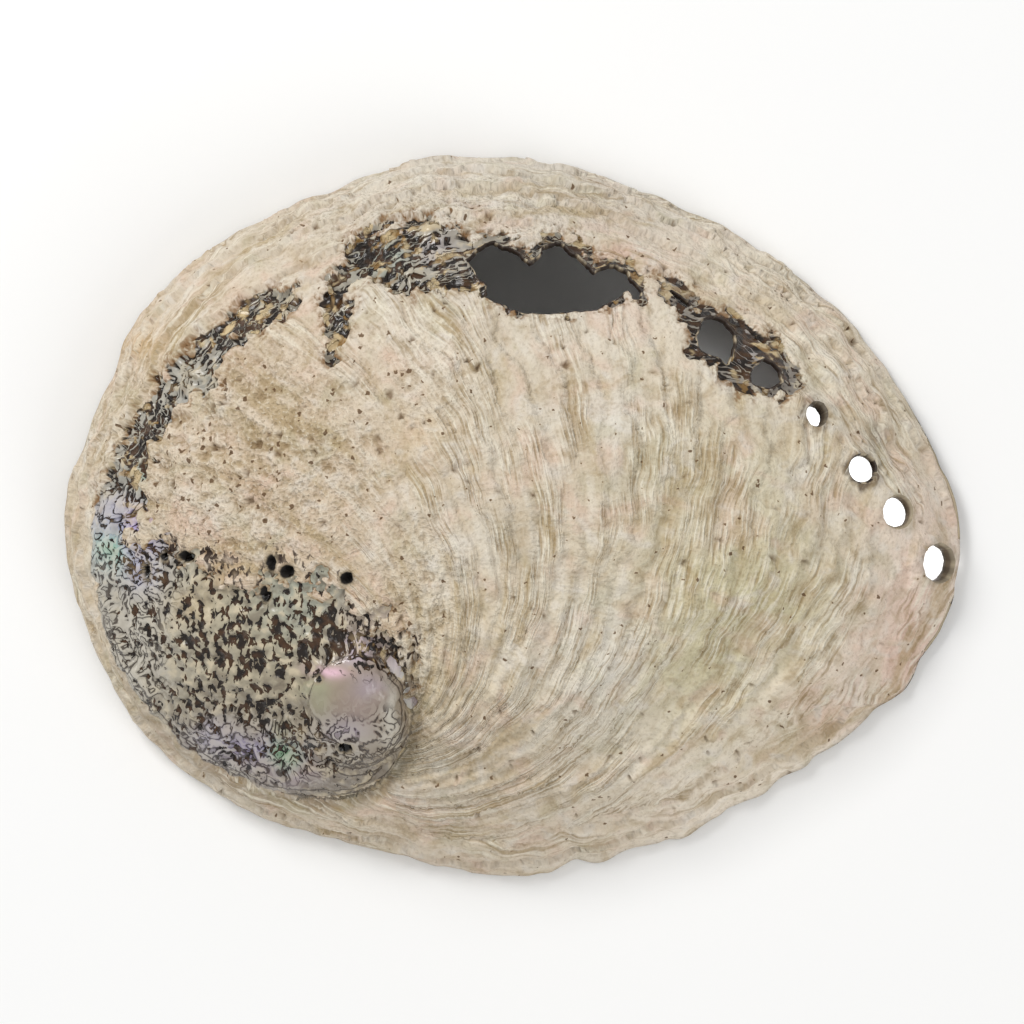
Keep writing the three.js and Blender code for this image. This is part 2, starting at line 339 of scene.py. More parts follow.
def cap_of(x, y):
    """1 on the smooth cap of the spire and 0 off it. Its border is ragged on the side that is eaten."""
    eaten = smooth(-0.4 * (x + 34) - (y + 46), 0, 6) * (2.2 + 2.4 * wander(x, y, 4, SEED + 8))
    return 1 - smooth(cap_reach(x, y) + eaten, CAP_RADIUS - 0.6, CAP_RADIUS + 0.6)


def inside_suture(x, y):
    """Millimetres inside the whorl line and the spire's own edge, for the fine rings that follow them."""
    (first, outside), _ = whorl_turns(x, y)
    along_edge = np.where((first > 160) & (outside < 0), -outside, 9)
    cap_edge = np.abs(cap_reach(x, y) - CAP_RADIUS - 0.7)
    return np.minimum(along_edge, np.where(x - 0.5 * y > -14, cap_edge, 9))


def crease_shade_of(x, y):
    """How deep each point is in the crease where the last whorl meets the spire, from 0 to 1, for the painted
    shade laid along it.
    """
    (first, first_outside), (second, second_outside) = whorl_turns(x, y)
    beside_spire = smooth(first, 150, 190) * bell(first_outside - 1.2, 2.6)
    round_cap = (1 - smooth(second, 400, 450)) * bell(second_outside - 1.2, 3.2)
    return np.maximum(beside_spire, round_cap)


# Chalk colours by place: centre, reach in mm, colour.
CHALK_ZONES = [
    ((-54, 14.7), 30, "#cdbaa2"), ((-94, 8), 16, "#cdbfa8"), ((-2.6, 73), 35, "#cec5b7"),
    ((60, 52.7), 30, "#e9dcc8"), ((-2.6, 14.7), 30, "#cfc1ab"), ((42, 14.7), 28, "#cabea6"),
    ((46.6, -23.4), 24, "#cec3a3"), ((90, -25.6), 18, "#e8d6c7"), ((55.6, -54.7), 24, "#f3e7d7"),
    ((-13.8, -72.6), 30, "#d7c8b3"), ((-18.2, -36.8), 16, "#d2c1a0"), ((-60, 60), 24, "#d0c2ad"),
    ((10, -40), 26, "#dacfba"), ((-85, -50), 20, "#dfd1bb"),
]
# Stains on the chalk: centre, half sizes in mm, colour, strength.
STAINS = [
    ((20, 60.5), (11, 4), "#d2a892", 0.55), ((16.5, 18), (4, 9), "#d3ab95", 0.3),
    ((90, -25), (7, 12), "#d2a18c", 0.5), ((74, -42), (8, 6), "#d0a08a", 0.4),
    ((47, -25), (17, 13), "#bdb883", 0.4), ((-82, 41), (5, 4), "#c49b5e", 0.6),
    ((-18, 17), (5, 5), "#c7a873", 0.35), ((61, -27.5), (3, 2), "#857a45", 0.7),
    ((22.5, 12), (5, 5), "#948c80", 0.35), ((0.5, -1.5), (5, 5), "#97907f", 0.3),
    ((20, 25), (10, 6), "#e2ded3", 0.7), ((15, -33), (11, 12), "#e2ddd1", 0.7),
    ((50, 5), (14, 10), "#cfc9b0", 0.4), ((-6, -60), (16, 6), "#b7a98f", 0.4),
    ((80, 15), (2.4, 3.2), "#5d4933", 0.7), ((97.5, -8), (2, 5), "#8a6f57", 0.5),
]


def linear(colour):
    """A hex colour as linear red, green and blue."""
    parts = np.array([int(colour[i:i + 2], 16) / 255 for i in (1, 3, 5)])
    return np.where(parts <= 0.04045, parts / 12.92, ((parts + 0.055) / 1.055) ** 2.4)


def with_dirt_and_painted_light(colour, share, dirt):
    """The colours with a hex colour laid on them: dirt and stains, and also painted shade and painted
    highlights.
    """
    return colour * (1 - share[:, None]) + linear(dirt) * share[:, None]


def zone_colour(x, y, zones, stains_and_highlights, warp):
    """The colour at each point, in linear red, green and blue, mixed from zones with stains and painted
    highlights laid on them.
    """
    wx, wy = x + warp * wander(x, y, 3 * warp, SEED + 2), y + warp * wander(x, y, 3 * warp, SEED + 3)
    shares = [bell(np.hypot(wx - cx, wy - cy), reach) + 1e-6 for (cx, cy), reach, _ in zones]
    colours = [linear(colour) for _, _, colour in zones]
    colour = np.einsum("zp,zc->pc", np.array(shares), np.array(colours)) / np.sum(shares, axis=0)[:, None]
    for centre, half, stain_and_highlight, strength in stains_and_highlights:
        colour = with_dirt_and_painted_light(colour, strength * bell(oval_reach(wx, wy, centre, half), 1), stain_and_highlight)
    return colour


# Nacre colours by place, where it is bare: centre, reach in mm, colour.
NACRE_ZONES = [
    ((-86, -6), 7, "#b3b1bb"), ((-86, -26), 12, "#aea89b"), ((-60, -24), 16, "#aea791"),
    ((-58, -38), 14, "#a59a82"), ((-62, -52), 12, "#79716c"), ((-42, -58), 10, "#867c6e"),
    ((-35, -41), 10, "#91826f"), ((-20, 56), 16, "#8f8a7c"), ((-48, -20), 8, "#9fa699"),
    ((48, 38), 12, "#8c857c"), ((-80, 20), 14, "#98958a"), ((-34, -25), 7, "#b0a192"),
]
# Coloured patches, stains and painted highlights on it: centre, half sizes in mm, colour, strength.
SPOTS_AND_PAINTED_HIGHLIGHTS = [
    ((-84, -4), (5, 5), "#ad97d6", 0.85), ((-80, 0), (3.5, 2.5), "#d9b0d2", 0.8),
    ((-89, -8), (4, 5), "#93bfa9", 0.9), ((-83, -13), (4, 4), "#9699bd", 0.8),
    ((-56, -52), (8, 3), "#9488b4", 0.8), ((-50, -57), (6, 3), "#b397ad", 0.6),
    ((-51, -53), (3, 4), "#74a87a", 0.9), ((-66, -49), (5, 3), "#a09ab4", 0.6),
    # The pale pink spot at (-40.5, -34.5) is a painted highlight on the cap's dome.
    ((-34, -29), (4, 2.5), "#c8b9cf", 0.8), ((-40.5, -34.5), (4.5, 1.8), "#f0c6d6", 0.9),
    ((-43.5, -38.5), (3, 1.2), "#a9ae8a", 0.5), ((-37, -47), (5, 3), "#94889b", 0.8),
    # The pale silver band at (-26.8, -43) is a painted highlight along the cap's right edge, and the dark
    # brown spot at (-42.8, -36.1) is painted shade in a bored hole.
    ((-26.8, -43), (1.6, 8), "#d0cbbd", 0.9), ((-42.8, -36.1), (0.9, 0.9), "#4a2d1c", 1),
    ((-34, -42), (5, 4), "#a3918a", 0.7), ((-42, -41), (2.5, 3.5), "#9da083", 0.5),
    ((-31, -37), (4, 3), "#a99ba8", 0.6), ((-71, 20), (4, 4), "#8fa3c2", 0.6),
    ((-79, 8), (4, 4), "#93bda8", 0.7), ((-28, 57), (5, 4), "#8fa39a", 0.7),
    ((-17, 59), (5, 3), "#9a93ad", 0.5), ((51, 38), (4, 4), "#9d95a8", 0.7),
    ((-72, -20), (5, 4), "#c0a678", 0.5), ((-63, -14), (5, 3), "#c9a67c", 0.7),
]
# Where dark horny seeds show in the nacre: centre, half sizes in mm, share.
SEED_ZONES = [
    ((-62, -28), (24, 16), 0.52), ((-42, -28), (13, 10), 0.6), ((-70, -42), (14, 8), 0.42),
    ((-46, -50), (6, 5), 0.5), ((-56, -44), (12, 5), 0.5), ((-66, -11), (24, 7), 0.5),
    ((-58, -53), (18, 5), 0.34),
]
# Where they run together to dark swirls: centre, half sizes in mm, share.
SWIRL_ZONES = [
    ((-30, 60), (16, 8), 1.2), ((-14, 53), (13, 8), 1.0), ((-26, 53), (8, 6), 0.8),
    ((48, 38), (20, 14), 1.2), ((-82, 16), (9, 18), 1.1), ((-62, 42), (20, 10), 1.2),
    ((-38, 42), (7, 14), 1.1), ((10, 52), (40, 14), 1.1), ((-46, -51), (8, 4), 0.4),
    ((-28, -30), (8, 4), 0.8), ((-84, -8), (3, 10), 0.3),
]
# Where the nacre has flaked to bare the edges of its plates: centre, half sizes in mm, share.
PLATED_ZONES = [
    ((-38, -50), (12, 6.5), 1.0), ((-28, -48), (5, 8), 0.8), ((-84, -8), (12, 22), 1.0),
    ((-62, -53), (26, 9), 1.0), ((-84, -30), (8, 22), 0.9), ((-20, 56), (30, 14), 0.6),
    ((48, 38), (16, 12), 0.6), ((-76, 20), (30, 30), 0.6),
]
# Deep round holes that other animals bored: centre, half sizes in mm.
BORINGS = [
    ((-36.4, -14), (1.4, 1.4)), ((-54.7, -17.8), (1.1, 1.9)), ((-49.6, -12.6), (1.5, 1.4)),
    ((-52.9, -10.6), (1, 1.8)), ((-72.3, -9.3), (1.2, 1.3)), ((-77.8, -9.6), (0.9, 0.9)),
    ((-81.6, -12.9), (0.7, 1.5)), ((-37, -51.6), (1.6, 1.1)), ((-42.8, -36.1), (0.8, 0.7)),
]
# Blister pearls on the bare nacre: centre, radius and height in mm.
PEARLS = [((-50.9, 46.4), 2.6, 1.6), ((-40.6, 49.8), 2.4, 1.5), ((-24, 54.5), 3.2, 1.4)]

# Where the chalk is eaten by pores: centre, half sizes in mm, share.
PORE_ZONES = [
    ((-62, 14), (34, 26), 0.42), ((-20, 62), (50, 14), 0.34), ((-30, 30), (24, 30), 0.32),
    ((-24, -30), (10, 22), 0.36), ((60, 50), (40, 14), 0.25), ((50, 5), (24, 30), 0.26),
]
# Where the chalk crumbles to sandy lumps, without growth lines: centre, half sizes in mm, share.
CRUMBLY_ZONES = [
    ((-60, 12), (36, 30), 1.0), ((-22, -22), (14, 28), 0.7), ((-20, 66), (50, 12), 0.6),
    ((-88, 20), (16, 50), 0.5), ((-20, 30), (16, 24), 0.5), ((60, 52), (30, 12), 0.4),
    ((70, -48), (24, 16), 0.3), ((-30, -70), (50, 9), 0.3),
]


def zoned(x, y, zones, least):
    """The highest share that any zone gives each point, and least away from all of them."""
    share = np.full_like(x, least)
    for centre, half, most in zones:
        share = np.maximum(share, most * bell(oval_reach(x, y, centre, half), 1))
    return share


# ---- The skin: two sheets with the same triangles, and walls round the rim and the openings ----


def growth_folds(angle, from_rim):
    lip_side = smooth(angle, 240, 290) * (1 - smooth(angle, 330, 355))
    return 0.9 * lip_side * (1 - smooth(from_rim, 0, 45)) * np.sin(2 * np.pi * from_rim / 15)


def rim_bumps(angle):
    """The rim's small scallops, which are deepest at the lip, where the folds run out."""
    lip_side = smooth(angle, 265, 285) * (1 - smooth(angle, 345, 358))
    x, y = 60 * np.cos(np.radians(angle)), 60 * np.sin(np.radians(angle))
    return wander(x, y, 5, SEED + 4) * (0.55 + 0.8 * lip_side) + 0.35 * wander(x, y, 2.2, SEED + 5)


def outer_sheet(angle, share):
    """The outside: x, y, z in millimetres, and each point's distance from the rim."""
    bumps = -rim_bumps(angle) * share**4
    x, y, z, fade = dome(angle, share, bumps, CROWN_HEIGHT, OUTER_SLOPES)
    rim_x, rim_y = rim_place(angle, bumps)
    flat_from_rim = np.hypot(rim_x - x, rim_y - y)
    z = z + fade * (whorl_relief(x, y) + growth_folds(angle, flat_from_rim))
    return np.stack([x, y, z], 1), np.hypot(flat_from_rim, z)


def inner_sheet(angle, share):
    """The inside. The wall thickens to the broad flat of the rim, and a hollow runs up into the spire."""
    widths = along(RIM_WIDTHS, 30, angle) - rim_bumps(angle) * share**4
    x, y, z, fade = dome(angle, share, widths, CROWN_HEIGHT - CROWN_WALL, INNER_SLOPES)
    z = z + fade * 4.5 * bell(np.hypot(x - SPIRE[0], y - SPIRE[1]), 10)
    scar = oval_reach(x, y, (-8, 2), (27, 21)) + 0.06 * wander(x, y, 9, SEED + 3)
    z = z - 0.7 * bell(scar - 1, 0.07) - 0.35 * (scar < 1) * wander(x, y, 5, SEED + 7)
    return np.stack([x, y, z], 1)


def sheet_normals(points, triangles):
    """The unit normal at each point of a sheet."""
    a, b, c = (points[triangles[:, i]] for i in range(3))
    corners = np.repeat(np.cross(b - a, c - a), 3, axis=0)
    total = np.stack([np.bincount(triangles.ravel(), part, len(points)) for part in corners.T], 1)
    return total / np.maximum(np.linalg.norm(total, axis=1, keepdims=True), 1e-12)


def cut_openings(triangles, field):
    """The triangles where field is positive, and the new points on its zero line as (from, to, share)."""
    field = np.where(np.abs(field) < 0.12, 0, field)
    corners = field[triangles]
    keep = triangles[(corners >= 0).all(1) & (corners > 0).any(1)]
    crossed = triangles[(corners < 0).any(1) & (corners > 0).any(1)]
    cuts, places, pieces = [], {}, []
    for triangle in crossed.tolist():
        ring = []
        for a, b in zip(triangle, triangle[1:] + triangle[:1]):
            if field[a] >= 0:
                ring.append(a)
            if field[a] * field[b] < 0:
                low, high = min(a, b), max(a, b)
                if (low, high) not in places:
                    places[low, high] = len(field) + len(cuts)
                    cuts.append((low, high, field[low] / (field[low] - field[high])))
                ring.append(places[low, high])
        pieces += [(ring[0], ring[n], ring[n + 1]) for n in range(1, len(ring) - 1)]
    return np.concatenate([keep, np.array(pieces)]), cuts


def add_cuts(values, cuts):
    """Values at the points, followed by values at the cut points between them."""
    low, high, share = (np.array(column) for column in zip(*cuts))
    share = share.reshape((-1,) + (1,) * (values.ndim - 1))
    return np.concatenate([values, values[low] * (1 - share) + values[high] * share])


def border_edges(triangles, count):
    """The edges that have a triangle on one side only, in that triangle's own direction."""
    edges = np.concatenate([triangles[:, [0, 1]], triangles[:, [1, 2]], triangles[:, [2, 0]]])
    one_way, other_way = edges[:, 0] * count + edges[:, 1], edges[:, 1] * count + edges[:, 0]
    return edges[~np.isin(one_way, other_way)]


def thinned_inside(outer, inner, triangles, near_opening, near_gap):
    """The inside, brought close under the outside at the openings. A hole's wall leans as its tube does."""
    x, y = outer[:, 0], outer[:, 1]
    leans = np.full(len(x), 0.4)
    for (cx, cy), _, _, lean, _ in BREATHING_HOLES:
        leans[np.hypot(x - cx, y - cy) < 5] = lean
    steep = sheet_normals(outer, triangles) * np.stack([leans, leans, np.ones(len(x))], 1)
    steep /= np.linalg.norm(steep, axis=1, keepdims=True)
    for near, wall in ((near_opening[:, None], HOLE_WALL), (near_gap[:, None], GAP_WALL)):
        inner = inner * (1 - near) + (outer - wall * steep) * near
    return inner


def skin_values(outer, share, from_rim, openings, gaps, near_opening, near_gap):
    """All that the patterns and the materials read at each point of the outside."""
    x, y = outer[:, 0], outer[:, 1]
    worn, frayed = wear_of(x, y, gaps)
    dirt = hole_dirt(x, y)
    chalk = zone_colour(x, y, CHALK_ZONES, STAINS, 6)
    # Painted shade: the chalk is darkened along the crease beside the spire.
    chalk = with_dirt_and_painted_light(chalk, 0.6 * crease_shade_of(x, y), "#6d5839")
    chalk = with_dirt_and_painted_light(chalk, 0.9 * dirt, "#4a3826")
    nacre = with_dirt_and_painted_light(zone_colour(x, y, NACRE_ZONES, SPOTS_AND_PAINTED_HIGHLIGHTS, 1.2), 0.45 * near_gap, "#4f4841")
    off_borders = (1 - smooth(share, 0.985, 1)) * smooth(openings, 0, 0.6)
    less_where_thin = 1 - 0.55 * np.maximum(near_gap, near_opening)
    return {
        "place": outer,
        "growth": growth_of(x, y),
        "from_rim": from_rim,
        "band": side_band(x, y, from_rim),
        "worn": worn,
        "frayed": frayed,
        "near_edge": np.maximum(near_gap, dirt),
        "cap": cap_of(x, y),
        "suture": inside_suture(x, y),
        "pores": zoned(x, y, PORE_ZONES, 0.21),
        "crumbly": zoned(x, y, CRUMBLY_ZONES, 0.2),
        "seeds": zoned(x, y, SEED_ZONES, 0.05),
        "swirled": zoned(x, y, SWIRL_ZONES, 0.0),
        "plated": zoned(x, y, PLATED_ZONES, 0.0),
        "boring": np.min([ellipse_distance(x, y, centre, half) for centre, half in BORINGS], axis=0),
        "chalk": chalk,
        "nacre": nacre,
        "outside": off_borders * less_where_thin,
    }


def edge_walls(outer, inner, triangles, from_rim):
    """Walls between the sheets' borders, in rows: the border, the points between, and the triangles."""
    count = len(outer)
    edges = border_edges(triangles, count)
    ring = np.unique(edges)
    step = outer[edges[:, 1]] - outer[edges[:, 0]]
    away = np.zeros((count, 2))
    for end in (0, 1):
        np.add.at(away, edges[:, end], np.stack([step[:, 1], -step[:, 0]], 1))
    away = away[ring] / np.maximum(np.linalg.norm(away[ring], axis=1, keepdims=True), 1e-9)
    on_rim = from_rim[ring] < 2
    bulge = np.where(on_rim, 0, 0.15 * np.linalg.norm(outer[ring] - inner[ring], axis=1))
    rows, points = [ring], []
    for row in range(1, WALL_ROWS):
        t = row / WALL_ROWS
        middle = outer[ring] * (1 - t) + inner[ring] * t
        middle[:, :2] += away * (bulge * 4 * t * (1 - t))[:, None]
        middle[:, 2] -= RIM_ROUNDING * on_rim
        rows.append(2 * count + (row - 1) * len(ring) + np.arange(len(ring)))
        points.append(middle)
    rows.append(ring + count)
    start, end = np.searchsorted(ring, edges[:, 0]), np.searchsorted(ring, edges[:, 1])
    walls = []
    for upper, lower in zip(rows, rows[1:]):
        walls.append(np.stack([upper[end], upper[start], lower[start]], 1))
        walls.append(np.stack([upper[end], lower[start], lower[end]], 1))
    return ring, np.concatenate(points), np.concatenate(walls)


def shell_skin():
    """The closed skin as arrays: points, triangles, the finish of each triangle, and values at each point."""
    angle, reach = disc_grid(CELLS)
    share = 0.45 * reach + 0.55 * np.sin(np.pi / 2 * reach)
    triangles = grid_triangles(CELLS)
    outer, from_rim = outer_sheet(angle, share)
    openings, gaps = opening_distance(outer[:, 0], outer[:, 1])
    near_opening, near_gap = 1 - smooth(openings, 0, 5), 1 - smooth(gaps, 0, 9)
    inner = thinned_inside(outer, inner_sheet(angle, share), triangles, near_opening, near_gap)
    for sheet in (outer, inner):
        sheet[:, 2] += RIM_ROUNDING * (reach == 1)
    values = skin_values(outer, share, from_rim, openings, gaps, near_opening, near_gap)

    triangles, cuts = cut_openings(triangles, openings)
    outer, inner = add_cuts(outer, cuts), add_cuts(inner, cuts)
    values = {name: add_cuts(value, cuts) for name, value in values.items()}
    count = len(outer)

    ring, between, walls = edge_walls(outer, inner, triangles, values["from_rim"])
    finish = np.repeat([0, 2, 1], [len(triangles), len(triangles), len(walls)])
    triangles = np.concatenate([triangles, count + triangles[:, ::-1], walls])
    values = {name: np.concatenate([v, v] + [v[ring]] * (WALL_ROWS - 1)) for name, v in values.items()}
    depths = np.repeat(np.arange(1, WALL_ROWS) / WALL_ROWS, len(ring))
    values["depth"] = np.concatenate([np.zeros(count), np.ones(count), depths])
    values["outside"] *= values["depth"] == 0
    free_inside = np.ones(count)
    free_inside[ring] = 0
    values["free_inside"] = np.concatenate([np.zeros(count), free_inside, np.zeros(len(between))])

    used, triangles = np.unique(triangles, return_inverse=True)
    points = np.concatenate([outer, inner, between])[used]
    return points, triangles.reshape(-1, 3), finish, {name: v[used] for name, v in values.items()}


def plain_shell():
    """The skin as an object centred over the CAD solid, with the inside thinned to fewer faces."""
    points, triangles, finish, values = shell_skin()
    middle = (points.max(0) + points.min(0)) / 2
    cad_middle = (cad_low + cad_high) / 2 / MM
    shift = np.array([cad_middle.x - middle[0], cad_middle.y - middle[1], 0])
    mesh = bpy.data.meshes.new("abalone_shell")
    mesh.from_pydata((points + shift) * MM, [], triangles)
    for name, value in values.items():
        if name in ("chalk", "nacre"):
            value = np.concatenate([value, np.ones((len(value), 1))], 1)
            mesh.attributes.new(name, "FLOAT_COLOR", "POINT").data.foreach_set("color", value.ravel())
        elif name == "place":
            mesh.attributes.new(name, "FLOAT_VECTOR", "POINT").data.foreach_set("vector", value.ravel())
        elif name != "free_inside":
            mesh.attributes.new(name, "FLOAT", "POINT").data.foreach_set("value", value)
    mesh.attributes.new("finish", "INT", "FACE").data.foreach_set("value", finish)
    mesh.shade_smooth()
    shell = bpy.data.objects.new("abalone_shell", mesh)
    bpy.context.scene.collection.objects.link(shell)
    group = shell.vertex_groups.new(name="free_inside")
    group.add(np.flatnonzero(values["free_inside"] > 0).tolist(), 1, "REPLACE")
    thin = shell.modifiers.new("thin_inside", "DECIMATE")
    thin.vertex_group = group.name
    thin.ratio = min(1, MOST_TRIANGLES / len(triangles))
    return shell


# ---- Patterns that both the relief and the materials use, so that colour and shape agree ----


def add(tree, kind, inputs, output=0, **settings):
    """Adds a node with its settings, fills its inputs with values or links, and gives one of its outputs."""
    made = tree.nodes.new(kind)
    for name, value in settings.items():
        setattr(made, name, value)
    for name, value in inputs.items():
        if isinstance(value, bpy.types.NodeSocket):
            tree.links.new(value, made.inputs[name])
        else:
            made.inputs[name].default_value = value
    return made.outputs[output] if made.outputs else made


def read(tree, name, output="Fac"):
    """One of the skin's own values, in a relief tree or in a material. output is the material's."""
    if tree.bl_idname == "ShaderNodeTree":
        return add(tree, "ShaderNodeAttribute", {}, output, attribute_name=name)
    data_type = "FLOAT" if output == "Fac" else "FLOAT_VECTOR"
    return add(tree, "GeometryNodeInputNamedAttribute", {"Name": name}, data_type=data_type)


def times(tree, a, b):
    return add(tree, "ShaderNodeMath", {0: a, 1: b}, operation="MULTIPLY")


def plus(tree, a, b, share=1.0):
    """a with share times b added to it."""
    return add(tree, "ShaderNodeMath", {0: b, 1: share, 2: a}, operation="MULTIPLY_ADD")


def band_of(tree, value, low, high, bottom=0.0, top=1.0):
    """value turned from low..high to bottom..top, held there outside that range, with soft ends."""
    limits = {"Value": value, "From Min": low, "From Max": high, "To Min": bottom, "To Max": top}
    return add(tree, "ShaderNodeMapRange", limits, interpolation_type="SMOOTHSTEP")


def opposite(tree, mask):
    return plus(tree, 1.0, mask, -1.0)


def larger(tree, a, b):
    return add(tree, "ShaderNodeMath", {0: a, 1: b}, operation="MAXIMUM")


def noise(tree, size, detail=2.0, distortion=0.0, stretch=(1, 1, 1)):
    """Noise from 0 to 1 over the skin, with bumps about size millimetres across."""
    scales = {0: read(tree, "place", "Vector"), 1: tuple(1 / (size * s) for s in stretch)}
    place = add(tree, "ShaderNodeVectorMath", scales, operation="MULTIPLY")
    inputs = {"Vector": place, "Scale": 1.0, "Detail": detail, "Distortion": distortion}
    return add(tree, "ShaderNodeTexNoise", inputs)


def both_ways(tree, back, side):
    """back on the shell's back and side on the steep band outside the hole row."""
    return add(tree, "ShaderNodeMix", {0: read(tree, "band"), 2: back, 3: side})


def lines_across(tree, way, spacing, drift, detail, distortion=0.0):
    """Noise from 0 to 1 in lines that are spacing apart the way that the value way goes, and drift long."""
    slow = {0: read(tree, "place", "Vector"), "Scale": 1 / drift}
    slow = add(tree, "ShaderNodeVectorMath", slow, operation="SCALE")
    across = add(tree, "ShaderNodeCombineXYZ", {0: times(tree, way, 1 / spacing)})
    place = add(tree, "ShaderNodeVectorMath", {0: slow, 1: across})
    inputs = {"Vector": place, "Scale": 1.0, "Detail": detail, "Distortion": distortion}
    return add(tree, "ShaderNodeTexNoise", inputs)


def growth_lines(tree, spacing, drift, detail=2.0):
    """Lines along each earlier lip on the back, blended into lines along the rim on the steep band."""
    back = lines_across(tree, read(tree, "growth"), spacing, drift, detail)
    side = lines_across(tree, read(tree, "from_rim"), spacing, drift, detail)
    return both_ways(tree, back, side)


def crisp_lines(tree, spacing, drift, detail=2.0):
    """The same lines with no blend between the back and the steep band, which is quicker to work out."""
    on_side = add(tree, "ShaderNodeMath", {0: read(tree, "band"), 1: 0.5}, operation="GREATER_THAN")
    way = add(tree, "ShaderNodeMix", {0: on_side, 2: read(tree, "growth"), 3: read(tree, "from_rim")})
    return lines_across(tree, way, spacing, drift, detail)


def growth_layers(tree, spacing):
    """Overlapping layers: each rises evenly from 0 to 1 and then ends in a ragged step."""
    found = []
    for name in ("growth", "from_rim"):
        ragged = plus(tree, read(tree, name), noise(tree, 9, 4.0), 13.0)
        turns = times(tree, ragged, 1 / spacing)
        found.append(add(tree, "ShaderNodeMath", {0: turns}, operation="FRACT"))
    return both_ways(tree, *found)


def pits(tree, size):
    """Small ragged pits, 1 at their deepest, with more of them where the pores value is high."""
    here = read(tree, "place", "Vector")
    warp = add(tree, "ShaderNodeVectorMath", {0: here, "Scale": 2.1 / size}, operation="SCALE")
    warp = add(tree, "ShaderNodeTexNoise", {"Vector": warp, "Scale": 1.0, "Detail": 0.0}, "Color")
    warp = add(tree, "ShaderNodeVectorMath", {0: warp, "Scale": 0.6 * size}, operation="SCALE")
    inputs = {"Vector": add(tree, "ShaderNodeVectorMath", {0: here, 1: warp}), "Scale": 1 / size}
    distance = add(tree, "ShaderNodeTexVoronoi", inputs, "Distance")
    cell = add(tree, "ShaderNodeTexVoronoi", inputs, "Color")
    luck = add(tree, "ShaderNodeSeparateXYZ", {0: cell}, 0)
    width = plus(tree, read(tree, "pores"), luck, -1.0)
    width = band_of(tree, width, 0.0, 0.3, 0.0, 0.42)
    return band_of(tree, plus(tree, width, distance, -1.0), 0.0, 0.12)


def worn_off(tree, softness=0.2):
    """1 where the chalk has worn off down to the nacre. softness is in millimetres."""
    return band_of(tree, read(tree, "worn"), -softness, softness)


def dark_seeds(tree, softness=0.015):
    """Short dark worm-like marks, standing mostly upright, where horny layers show through the nacre."""
    marks = plus(tree, noise(tree, 1.8, 3.0, 0.5, (0.75, 1.3, 1)), read(tree, "seeds"), 0.36)
    marks = plus(tree, marks, read(tree, "mottle"), 0.3)
    return band_of(tree, marks, 0.83 - softness, 0.83 + softness)


def outlines(tree, name, level, width):
    """Thin lines, like contour lines, wherever the named value passes a whole number of levels."""
    turns = times(tree, read(tree, name), 1 / level)
    wave = add(tree, "ShaderNodeMath", {0: turns, 1: 0.5}, operation="PINGPONG")
    return band_of(tree, wave, 0.5 * width, width, 1.0, 0.0)


def plate_shade(tree, level):
    """A shade from 0 to 1 that changes from each plate of nacre to the next."""
    turns = times(tree, read(tree, "plate"), 2 / level)
    count = add(tree, "ShaderNodeMath", {0: plus(tree, turns, 0.5)}, operation="FLOOR")
    return add(tree, "ShaderNodeMath", {0: times(tree, count, 0.382)}, operation="FRACT")


def swirls(tree, softness=0.05):
    """Wide dark bands that swirl between plates of silver, where the old row of holes broke away."""
    turns = times(tree, read(tree, "plate"), 5.5)
    wave = add(tree, "ShaderNodeMath", {0: turns, 1: 0.5}, operation="PINGPONG")
    level = plus(tree, wave, read(tree, "swirled"), -0.36)
    bands = band_of(tree, level, -softness, softness, 1.0, 0.0)
    return times(tree, bands, band_of(tree, read(tree, "swirled"), 0.0, 0.1))


# ---- The relief ----

# How far each pattern raises or sinks the skin, in millimetres.
RELIEF = {
    "Worn Depth": 1.2, "Line Height": 0.9, "Layer Height": 1.0, "Lump Height": 3.4, "Crumb Height": 8.0,
    "Pit Depth": 1.1, "Seed Depth": 0.7, "Boring Depth": 2.6,
}
LINE_SPACING = 2.2
LAYER_SPACING = 9
PIT_SPACING = 2.4


def store(tree, skin, name, value, data_type="FLOAT"):
    """Keeps a value on the skin's points, so that the materials can read it."""
    inputs = {"Geometry": skin, "Name": name, "Value": value}
    return add(tree, "GeometryNodeStoreNamedAttribute", inputs, data_type=data_type, domain="POINT")


def store_patterns(tree, skin, seed):
    """Moves the place that patterns are read at by the seed, and keeps the broad patterns on the skin."""
    jump = add(tree, "ShaderNodeVectorMath", {0: (13.7, 5.3, 9.1), "Scale": seed}, operation="SCALE")
    moved = add(tree, "ShaderNodeVectorMath", {0: read(tree, "place", "Vector"), 1: jump})
    skin = store(tree, skin, "place", moved, "FLOAT_VECTOR")
    bend = noise(tree, 16, 1.0)
    fray = times(tree, plus(tree, noise(tree, 3.4, 3.0), -0.5), read(tree, "frayed"))
    both = plus(tree, noise(tree, 3.2, 2.0, 0.8), growth_lines(tree, 3, 7))
    strands = lines_across(tree, read(tree, "from_rim"), 3.4, 8, 2.0, 1.6)
    on_row = band_of(tree, read(tree, "swirled"), 0.3, 0.7)
    patterns = {
        "growth": plus(tree, read(tree, "growth"), bend, 9.0),
        "from_rim": plus(tree, read(tree, "from_rim"), bend, 9.0),
        "worn": plus(tree, read(tree, "worn"), fray, 4.0),
        "mottle": noise(tree, 7, 4.0, 1.5),
        "tint": noise(tree, 11, 3.0, 1.0),
        "crumbs": times(tree, both, 0.5),
        "cloud": noise(tree, 2.4, 1.5),
        "plate": add(tree, "ShaderNodeMix", {0: on_row, 2: noise(tree, 7, 2.0, 2.4), 3: strands}),
        "suture": plus(tree, read(tree, "suture"), noise(tree, 6, 2.0), 1.6),
        "flow": growth_lines(tree, 7, 20, 3.0),
        "lined": growth_lines(tree, 15, 24, 1.0),
        "pit": pits(tree, PIT_SPACING),
        "layer": growth_layers(tree, LAYER_SPACING),
    }
    for name, value in patterns.items():
        skin = store(tree, skin, name, value)
    return skin


